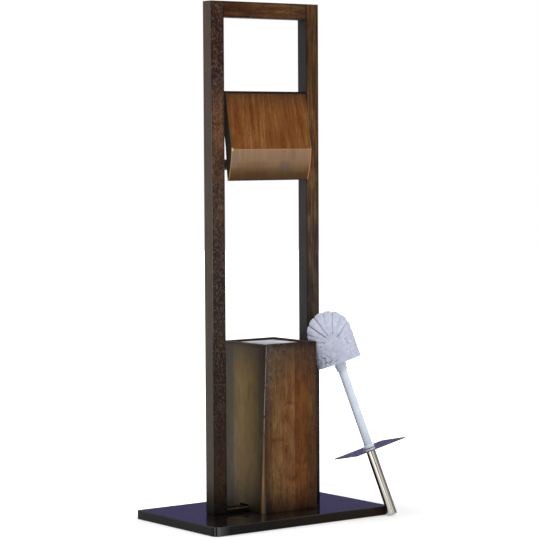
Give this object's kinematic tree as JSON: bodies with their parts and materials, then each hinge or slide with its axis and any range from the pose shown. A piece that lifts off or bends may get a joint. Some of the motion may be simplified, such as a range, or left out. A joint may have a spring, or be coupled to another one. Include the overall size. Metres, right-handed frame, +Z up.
{
  "type": "toilet butler stand",
  "caption": "Free-standing wooden bathroom stand: a tall frame on a base board with a hinged flap over a sprung paper-roll holder, and a box with a liner for the toilet brush.",
  "frame": {"origin": "middle of the base board's underside", "axes": "+X along the frame, towards the side where the brush leans; +Y to the back; +Z up"},
  "size_m": [0.369, 0.2527, 0.8206],
  "materials": {
    "dark_wood": "dark stained, satin lacquer",
    "warm_wood": "stained laminate, satin lacquer",
    "box_wood": "stained strips, satin lacquer",
    "bare_wood": "unfinished",
    "black_lacquer": "high-gloss black lacquer",
    "pad_rubber": "matt",
    "steel": "brushed",
    "black_tube": "semi-gloss black",
    "white_plastic": "smooth, semi-gloss white",
    "white_bristle": "fine nylon bristles"
  },
  "bodies": {
    "root": {"base_board": "black_lacquer", "front_left_foot_pad": "pad_rubber", "front_right_foot_pad": "pad_rubber", "back_left_foot_pad": "pad_rubber", "back_right_foot_pad": "pad_rubber", "left_post": "dark_wood", "right_post": "dark_wood", "top_rail": "dark_wood", "bottom_rail": "dark_wood", "left_post_screw": "steel", "right_post_screw": "steel", "left_rail_screw": "steel", "right_rail_screw": "steel", "lower_left_dowel": "bare_wood", "upper_left_dowel": "bare_wood", "lower_right_dowel": "bare_wood", "upper_right_dowel": "bare_wood", "box_front_panel": "box_wood", "box_back_panel": "box_wood", "box_left_panel": "box_wood", "box_right_panel": "box_wood", "box_front_left_block": "bare_wood", "box_front_right_block": "bare_wood", "box_back_left_block": "bare_wood", "box_back_right_block": "bare_wood"},
    "flap": {"flap_board": "warm_wood", "flap_left_pin": "steel", "flap_right_pin": "steel"},
    "roller": {"roller_outer_tube": "black_tube", "roller_left_tip": "black_tube", "roller_spring": "steel"},
    "plunger": {"roller_inner_tube": "black_tube", "roller_right_tip": "black_tube"},
    "liner": {"brush_cup": "white_plastic"},
    "brush": {"brush_handle_tube": "steel", "brush_handle_end_cap": "steel", "brush_handle_insert": "white_plastic", "brush_handle_stud": "steel", "brush_lid_plate": "black_lacquer", "brush_stem": "white_plastic", "brush_head_core": "white_plastic", "brush_bristles": "white_bristle"}
  },
  "joints": [
    {"name": "flap_hinge", "type": "hinge", "parent": "root", "child": "flap", "pos_m": [0, -0.00518, 0.668], "axis": [-1, 0, 0], "range_deg": [0, 160]},
    {"name": "roller_spin", "type": "hinge", "parent": "root", "child": "roller", "pos_m": [0, -0.00378, 0.5646], "axis": [1, 0, 0], "continuous": true},
    {"name": "roller_plunger", "type": "slide", "parent": "roller", "child": "plunger", "axis": [-1, 0, 0], "range_m": [0, 0.008], "stiffness_N_per_m": 600, "springref_m": -0.01, "deforming": ["roller_spring"]},
    {"name": "cup_lift", "type": "slide", "parent": "root", "child": "liner", "axis": [0, 0, 1], "range_m": [0, 0.24]},
    {"name": "brush_lift", "type": "slide", "parent": "root", "child": "brush", "axis": [0.487, -0.513, 0.7069], "range_m": [0, 0.4]}
  ]
}
